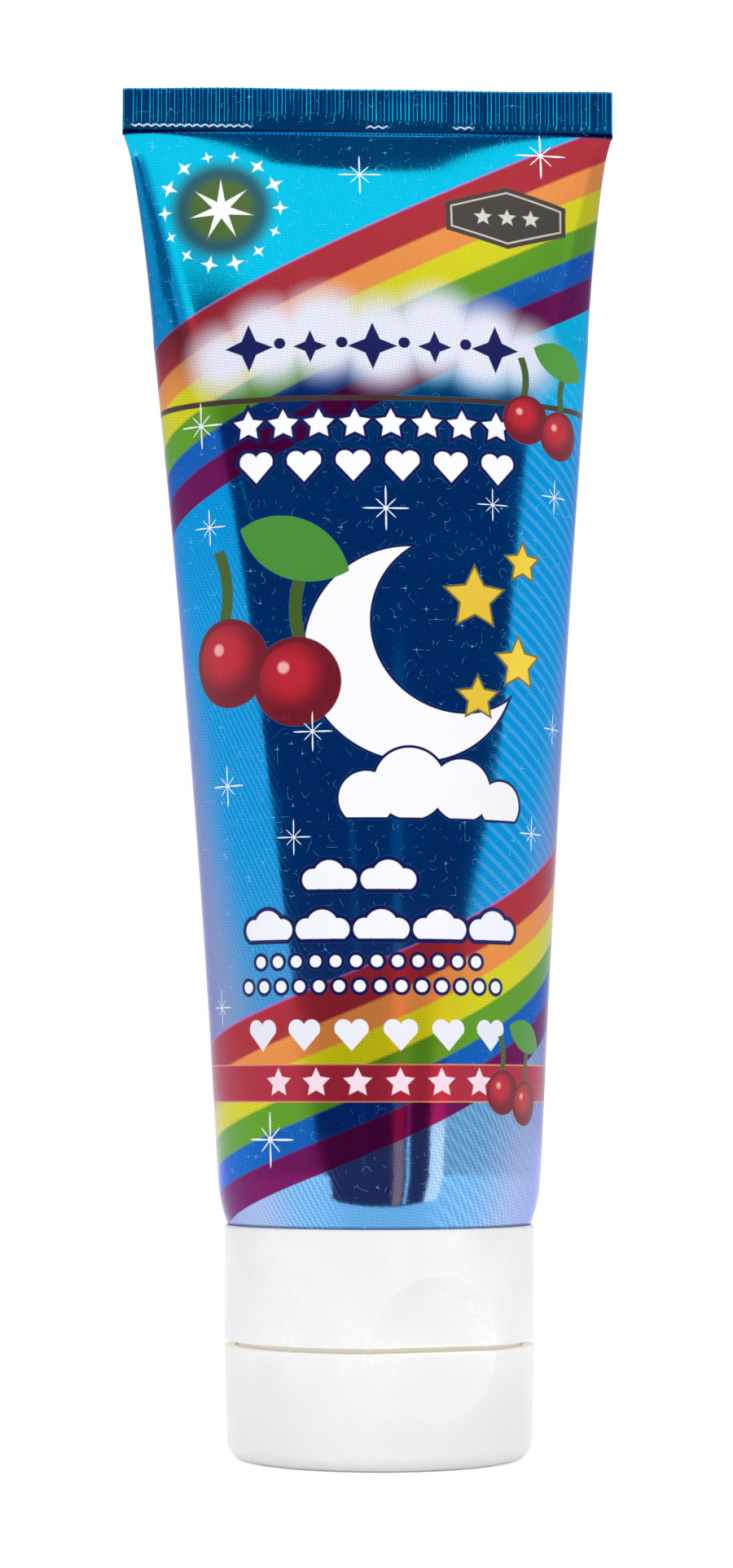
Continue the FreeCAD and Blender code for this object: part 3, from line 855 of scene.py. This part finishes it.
makeSleeveBody(sleeveMaterial)
makeCrimp(sleeveMaterial)
print("sleeve made")
makeMoulded("cap_upper", "cap_base", "tube", capMaterial)
makeMoulded("cap_lower", "cap_lid", "lid", capMaterial)
for node, material in (("tube_head", headMaterial), ("toothpaste_fill", pasteMaterial)):
    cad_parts[node].data.materials.clear()
    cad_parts[node].data.materials.append(material)
print("cap made")

# Camera, as fitted to the rounds of the cap and the crimp in the photo
shot = {"lens": 74.03, "away": 0.3514, "shiftLeft": 0.001376, "height": 0.0378, "azimuth": -1.9, "pitch": 5.652}


bpy.context.scene.view_settings.view_transform = "Standard"


def makeCamera():
    turn = radians(shot["azimuth"])
    data = bpy.data.cameras.new("camera")
    data.lens = shot["lens"]
    data.sensor_width = 36.0
    data.clip_start = 0.01
    camera = bpy.data.objects.new("camera", data)
    x = sin(turn) * shot["away"] - cos(turn) * shot["shiftLeft"]
    y = -cos(turn) * shot["away"] - sin(turn) * shot["shiftLeft"]
    camera.location = (x, y, shot["height"])
    camera.rotation_euler = (radians(90 + shot["pitch"]), 0.0, turn)
    bpy.context.scene.collection.objects.link(camera)
    bpy.context.scene.camera = camera


# Studio: a pale floor, white all round, two soft boxes, and dark cards in front and above that only
# reflections see, as the dark room behind the photographer is
studio = {
    "floorSize": 6.0,
    "white": 1.0,
    "fill": 0.50,
    "dark": 0.146,
    "darkTint": (0.68, 0.32, 1.0),
    "floorGlow": 0.56,
    "lampWatts": 3.85,
    # the dark room's outline, on a plane in front of the tube
    "roomOutline": [(x * mm, -0.75, z * mm) for x, z in (
        (-560, -5), (-660, 60), (-800, 112), (-1000, 160), (-1100, 230), (-1130, 320), (-1080, 440), (-1000, 570),
        (1000, 590), (1250, 520), (1560, 430), (1540, 370), (1250, 300), (950, 240), (720, 165), (600, 118),
        (530, 50), (505, -5))],
    # the dark table's outline, on the floor: it narrows towards the tube
    "tableOutline": [(x * mm, y * mm, 0.4 * mm) for x, y in (
        (-560, -745), (505, -745), (62, -98), (52, -82), (36, -73), (14, -70), (-14, -70), (-38, -72),
        (-54, -80), (-64, -98))],
}


def makeWorld():
    world = bpy.data.worlds.new("studio")
    bpy.context.scene.world = world
    world.use_nodes = True
    tree = world.node_tree
    tree.nodes.clear()
    path = tree.nodes.new("ShaderNodeLightPath")
    seen = Wire(tree, path.outputs["Is Camera Ray"]).most(Wire(tree, path.outputs["Is Glossy Ray"]))
    seen = seen.most(Wire(tree, path.outputs["Is Transmission Ray"]))
    back = tree.nodes.new("ShaderNodeBackground")
    back.inputs["Color"].default_value = (1.0, 1.0, 1.0, 1.0)
    plug(tree, soft(seen, 0.0, 1.0, studio["fill"], studio["white"]), back.inputs["Strength"])
    output = tree.nodes.new("ShaderNodeOutputWorld")
    tree.links.new(back.outputs[0], output.inputs[0])


# Cards are seen in reflections alone
def makeCard(name, corners, level, colour=(1.0, 1.0, 1.0)):
    mesh = bpy.data.meshes.new(name)
    mesh.from_pydata(corners, [], [tuple(range(len(corners)))])
    card = bpy.data.objects.new(name, mesh)
    bpy.context.scene.collection.objects.link(card)
    material = bpy.data.materials.new(name)
    material.use_nodes = True
    tree = material.node_tree
    tree.nodes.clear()
    light = tree.nodes.new("ShaderNodeEmission")
    light.inputs["Color"].default_value = (*colour, 1.0)
    light.inputs["Strength"].default_value = level
    output = tree.nodes.new("ShaderNodeOutputMaterial")
    tree.links.new(light.outputs[0], output.inputs[0])
    mesh.materials.append(material)
    card.visible_camera = False
    card.visible_diffuse = False
    card.visible_shadow = False
    card.visible_transmission = False
    return card


def makeFloor():
    half = studio["floorSize"] / 2
    mesh = bpy.data.meshes.new("floor")
    mesh.from_pydata([(-half, -half, 0), (half, -half, 0), (half, half, 0), (-half, half, 0)], [], [(0, 1, 2, 3)])
    floor = bpy.data.objects.new("floor", mesh)
    bpy.context.scene.collection.objects.link(floor)
    material = bpy.data.materials.new("white floor")
    material.use_nodes = True
    tree = material.node_tree
    tree.nodes.clear()
    plain = tree.nodes.new("ShaderNodeBsdfDiffuse")
    plain.inputs["Color"].default_value = (0.92, 0.92, 0.92, 1.0)
    glow = tree.nodes.new("ShaderNodeEmission")
    path = tree.nodes.new("ShaderNodeLightPath")
    seen = Wire(tree, path.outputs["Is Camera Ray"]).most(Wire(tree, path.outputs["Is Glossy Ray"]))
    seen = seen.most(Wire(tree, path.outputs["Is Transmission Ray"]))
    plug(tree, seen * studio["floorGlow"], glow.inputs["Strength"])
    both = tree.nodes.new("ShaderNodeAddShader")
    tree.links.new(plain.outputs[0], both.inputs[0])
    tree.links.new(glow.outputs[0], both.inputs[1])
    output = tree.nodes.new("ShaderNodeOutputMaterial")
    tree.links.new(both.outputs[0], output.inputs[0])
    mesh.materials.append(material)


def makeLamp(name, place, aim, size, watts, glossy=False):
    data = bpy.data.lights.new(name, "AREA")
    data.shape = "RECTANGLE"
    data.size, data.size_y = size
    data.energy = watts
    lamp = bpy.data.objects.new(name, data)
    lamp.location = place
    direction = np.array(aim) - np.array(place)
    lamp.rotation_euler = Vector(direction).to_track_quat("-Z", "Y").to_euler()
    lamp.visible_glossy = glossy
    bpy.context.scene.collection.objects.link(lamp)


makeCamera()
makeWorld()
makeFloor()
for side, name in ((-1.0, "soft box left"), (1.0, "soft box right")):
    makeLamp(name, (0.40 * side, -0.78, 0.72), (0, 0, 0.07), (0.5, 0.7), studio["lampWatts"])
makeLamp("soft box behind", (0.0, 1.0, 0.6), (0, 0, 0.07), (0.9, 0.5), studio["lampWatts"] * 1.4)
dark, darkTint = studio["dark"], studio["darkTint"]
makeCard("dark room", studio["roomOutline"], dark, darkTint)
makeCard("dark table", studio["tableOutline"], dark, darkTint)
makeCard("dark ceiling", [(-0.17, -0.76, 1.3), (0.21, -0.76, 1.3), (0.21, 0.30, 1.3), (-0.17, 0.38, 1.3)], dark, darkTint)
makeCard("grey wall", [(-0.9, 0.75, 0.335), (-0.9, -0.35, 0.335), (-0.9, -0.35, 0.75), (-0.9, 0.75, 0.75)], 0.42, (0.7, 0.8, 1.0))
# strips of light that stand in the dark room, and lie on the table where they start at its foot: left and
# right edge, foot and top, level and colour
nearShare = (0.074 - 0.017) / (0.745 - 0.017)
for name, x0, x1, z0, z1, level, colour in (
        ("warm strip", 100, 190, -5, 175, 1.7, (1.0, 0.26, 0.20)),
        ("thin strip", 222, 246, -5, 150, 2.2, (1.0, 0.9, 0.85)),
        ("faint strip", 100, 160, 175, 330, 0.30, (0.6, 0.6, 1.0)),
        ("pale strip", 478, 690, -5, 128, 4.2, (1.0, 0.55, 0.42)),
        ("far strip", -180, -150, 20, 260, 0.26, (0.5, 0.6, 1.0))):
    makeCard(name, [(x * mm, -0.745, z * mm) for x, z in ((x0, z0), (x1, z0), (x1, z1), (x0, z1))], level, colour)
    if z0 < 0:
        makeCard(name + " foot", [(x * mm * share, y, 0.6 * mm) for x, share, y in (
            (x0, 1.0, -0.745), (x1, 1.0, -0.745), (x1, nearShare, -0.074), (x0, nearShare, -0.074))], level, colour)
print("studio made")
